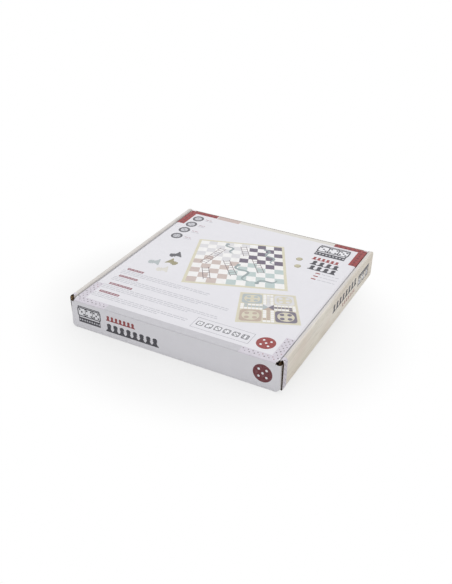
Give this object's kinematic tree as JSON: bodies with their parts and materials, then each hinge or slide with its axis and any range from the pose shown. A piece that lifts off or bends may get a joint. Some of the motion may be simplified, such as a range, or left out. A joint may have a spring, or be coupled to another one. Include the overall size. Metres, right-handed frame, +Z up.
{
  "type": "ludo board game",
  "caption": "Flat corrugated mailer carton with hinged lid and tuck flap, holding a two-sided wooden game board, card spacers, turned pawns, dice and a folded rules leaflet.",
  "frame": {"origin": "middle of the carton's underside, on the table", "axes": "+Z up, +X to the right along the hinge wall, +Y from the hinge wall to the tuck wall"},
  "size_m": [0.3, 0.303, 0.0435],
  "materials": {
    "printed_card": "white-lined corrugated board with a pale matte print outside and kraft inside",
    "kraft_card": "plain brown corrugated board",
    "plywood": "fine birch plywood, printed on both faces, raw edges",
    "paper": "folded matte paper",
    "die_wood": "satin lacquered wood with dark sunk pips",
    "paint_slate": "satin slate paint on turned wood",
    "paint_blue": "satin blue-grey paint on turned wood",
    "paint_sage": "satin sage paint on turned wood",
    "paint_beige": "satin beige paint on turned wood"
  },
  "bodies": {
    "tray": {"base_panel": "printed_card", "corner_flap_hinge_left": "printed_card", "corner_flap_hinge_right": "printed_card", "corner_flap_tuck_left": "printed_card", "corner_flap_tuck_right": "printed_card", "divider_1": "kraft_card", "divider_2": "kraft_card", "divider_3": "kraft_card", "divider_4": "kraft_card", "divider_5": "kraft_card", "divider_6": "kraft_card", "hinge_wall": "printed_card", "side_rim_left": "printed_card", "side_rim_right": "printed_card", "side_wall_inner_left": "printed_card", "side_wall_inner_right": "printed_card", "side_wall_outer_left": "printed_card", "side_wall_outer_right": "printed_card", "spacer_deck_left": "kraft_card", "spacer_deck_right": "kraft_card", "spacer_inner_wall_left": "kraft_card", "spacer_inner_wall_right": "kraft_card", "spacer_outer_wall_left": "kraft_card", "spacer_outer_wall_right": "kraft_card", "tuck_wall": "printed_card"},
    "lid": {"lid_panel": "printed_card"},
    "tuck_flap": {"tuck_flap": "printed_card"},
    "dust_flap_left": {"dust_flap_left": "printed_card"},
    "dust_flap_right": {"dust_flap_right": "printed_card"},
    "game_board": {"game_board": "plywood"},
    "rules_leaflet": {"rules_leaflet": "paper"},
    "pawn_beige_1": {"pawn_beige_1": "paint_beige"},
    "pawn_beige_2": {"pawn_beige_2": "paint_beige"},
    "pawn_beige_3": {"pawn_beige_3": "paint_beige"},
    "pawn_beige_4": {"pawn_beige_4": "paint_beige"},
    "pawn_blue_1": {"pawn_blue_1": "paint_blue"},
    "pawn_blue_2": {"pawn_blue_2": "paint_blue"},
    "pawn_blue_3": {"pawn_blue_3": "paint_blue"},
    "pawn_blue_4": {"pawn_blue_4": "paint_blue"},
    "pawn_sage_1": {"pawn_sage_1": "paint_sage"},
    "pawn_sage_2": {"pawn_sage_2": "paint_sage"},
    "pawn_sage_3": {"pawn_sage_3": "paint_sage"},
    "pawn_sage_4": {"pawn_sage_4": "paint_sage"},
    "pawn_slate_1": {"pawn_slate_1": "paint_slate"},
    "pawn_slate_2": {"pawn_slate_2": "paint_slate"},
    "pawn_slate_3": {"pawn_slate_3": "paint_slate"},
    "pawn_slate_4": {"pawn_slate_4": "paint_slate"},
    "die_1": {"die_1": "die_wood"},
    "die_2": {"die_2": "die_wood"}
  },
  "joints": [
    {"name": "lid_hinge", "type": "hinge", "parent": "tray", "child": "lid", "pos_m": [0, -0.15075, 0.04035], "axis": [1, 0, 0], "range_deg": [0, 185]},
    {"name": "tuck_flap_crease", "type": "hinge", "parent": "lid", "child": "tuck_flap", "pos_m": [0, 0.14895, 0.04035], "axis": [1, 0, 0], "range_deg": [0, 47]},
    {"name": "dust_flap_right_crease", "type": "hinge", "parent": "lid", "child": "dust_flap_right", "pos_m": [0.14195, 0, 0.04035], "axis": [0, -1, 0], "range_deg": [0, 38]},
    {"name": "dust_flap_left_crease", "type": "hinge", "parent": "lid", "child": "dust_flap_left", "pos_m": [-0.14195, 0, 0.04035], "axis": [0, 1, 0], "range_deg": [0, 38]},
    {"name": "game_board_lift", "type": "slide", "parent": "tray", "child": "game_board", "axis": [0, 0, 1], "range_m": [0, 0.0489]},
    {"name": "rules_leaflet_lift", "type": "slide", "parent": "tray", "child": "rules_leaflet", "axis": [0, 0, 1], "range_m": [0, 0.0392]},
    {"name": "pawn_beige_1_lift", "type": "slide", "parent": "tray", "child": "pawn_beige_1", "axis": [0, 0, 1], "range_m": [0, 0.0392]},
    {"name": "pawn_beige_2_lift", "type": "slide", "parent": "tray", "child": "pawn_beige_2", "axis": [0, 0, 1], "range_m": [0, 0.0392]},
    {"name": "pawn_beige_3_lift", "type": "slide", "parent": "tray", "child": "pawn_beige_3", "axis": [0, 0, 1], "range_m": [0, 0.0392]},
    {"name": "pawn_beige_4_lift", "type": "slide", "parent": "tray", "child": "pawn_beige_4", "axis": [0, 0, 1], "range_m": [0, 0.0392]},
    {"name": "pawn_blue_1_lift", "type": "slide", "parent": "tray", "child": "pawn_blue_1", "axis": [0, 0, 1], "range_m": [0, 0.0392]},
    {"name": "pawn_blue_2_lift", "type": "slide", "parent": "tray", "child": "pawn_blue_2", "axis": [0, 0, 1], "range_m": [0, 0.0392]},
    {"name": "pawn_blue_3_lift", "type": "slide", "parent": "tray", "child": "pawn_blue_3", "axis": [0, 0, 1], "range_m": [0, 0.0392]},
    {"name": "pawn_blue_4_lift", "type": "slide", "parent": "tray", "child": "pawn_blue_4", "axis": [0, 0, 1], "range_m": [0, 0.0392]},
    {"name": "pawn_sage_1_lift", "type": "slide", "parent": "tray", "child": "pawn_sage_1", "axis": [0, 0, 1], "range_m": [0, 0.0392]},
    {"name": "pawn_sage_2_lift", "type": "slide", "parent": "tray", "child": "pawn_sage_2", "axis": [0, 0, 1], "range_m": [0, 0.0392]},
    {"name": "pawn_sage_3_lift", "type": "slide", "parent": "tray", "child": "pawn_sage_3", "axis": [0, 0, 1], "range_m": [0, 0.0392]},
    {"name": "pawn_sage_4_lift", "type": "slide", "parent": "tray", "child": "pawn_sage_4", "axis": [0, 0, 1], "range_m": [0, 0.0392]},
    {"name": "pawn_slate_1_lift", "type": "slide", "parent": "tray", "child": "pawn_slate_1", "axis": [0, 0, 1], "range_m": [0, 0.0392]},
    {"name": "pawn_slate_2_lift", "type": "slide", "parent": "tray", "child": "pawn_slate_2", "axis": [0, 0, 1], "range_m": [0, 0.0392]},
    {"name": "pawn_slate_3_lift", "type": "slide", "parent": "tray", "child": "pawn_slate_3", "axis": [0, 0, 1], "range_m": [0, 0.0392]},
    {"name": "pawn_slate_4_lift", "type": "slide", "parent": "tray", "child": "pawn_slate_4", "axis": [0, 0, 1], "range_m": [0, 0.0392]},
    {"name": "die_1_lift", "type": "slide", "parent": "tray", "child": "die_1", "axis": [0, 0, 1], "range_m": [0, 0.0392]},
    {"name": "die_2_lift", "type": "slide", "parent": "tray", "child": "die_2", "axis": [0, 0, 1], "range_m": [0, 0.0392]}
  ],
  "couplings": [
    {"joint": "tuck_flap_crease", "follows": "lid_hinge", "ratio": 0.25},
    {"joint": "dust_flap_right_crease", "follows": "lid_hinge", "ratio": 0.2},
    {"joint": "dust_flap_left_crease", "follows": "lid_hinge", "ratio": 0.2},
    {"joint": "game_board_lift", "follows": "lid_hinge", "m_per_rad": 0.015},
    {"joint": "rules_leaflet_lift", "follows": "lid_hinge", "m_per_rad": 0.012},
    {"joint": "pawn_beige_1_lift", "follows": "lid_hinge", "m_per_rad": 0.012},
    {"joint": "pawn_beige_2_lift", "follows": "lid_hinge", "m_per_rad": 0.012},
    {"joint": "pawn_beige_3_lift", "follows": "lid_hinge", "m_per_rad": 0.012},
    {"joint": "pawn_beige_4_lift", "follows": "lid_hinge", "m_per_rad": 0.012},
    {"joint": "pawn_blue_1_lift", "follows": "lid_hinge", "m_per_rad": 0.012},
    {"joint": "pawn_blue_2_lift", "follows": "lid_hinge", "m_per_rad": 0.012},
    {"joint": "pawn_blue_3_lift", "follows": "lid_hinge", "m_per_rad": 0.012},
    {"joint": "pawn_blue_4_lift", "follows": "lid_hinge", "m_per_rad": 0.012},
    {"joint": "pawn_sage_1_lift", "follows": "lid_hinge", "m_per_rad": 0.012},
    {"joint": "pawn_sage_2_lift", "follows": "lid_hinge", "m_per_rad": 0.012},
    {"joint": "pawn_sage_3_lift", "follows": "lid_hinge", "m_per_rad": 0.012},
    {"joint": "pawn_sage_4_lift", "follows": "lid_hinge", "m_per_rad": 0.012},
    {"joint": "pawn_slate_1_lift", "follows": "lid_hinge", "m_per_rad": 0.012},
    {"joint": "pawn_slate_2_lift", "follows": "lid_hinge", "m_per_rad": 0.012},
    {"joint": "pawn_slate_3_lift", "follows": "lid_hinge", "m_per_rad": 0.012},
    {"joint": "pawn_slate_4_lift", "follows": "lid_hinge", "m_per_rad": 0.012},
    {"joint": "die_1_lift", "follows": "lid_hinge", "m_per_rad": 0.012},
    {"joint": "die_2_lift", "follows": "lid_hinge", "m_per_rad": 0.012}
  ]
}
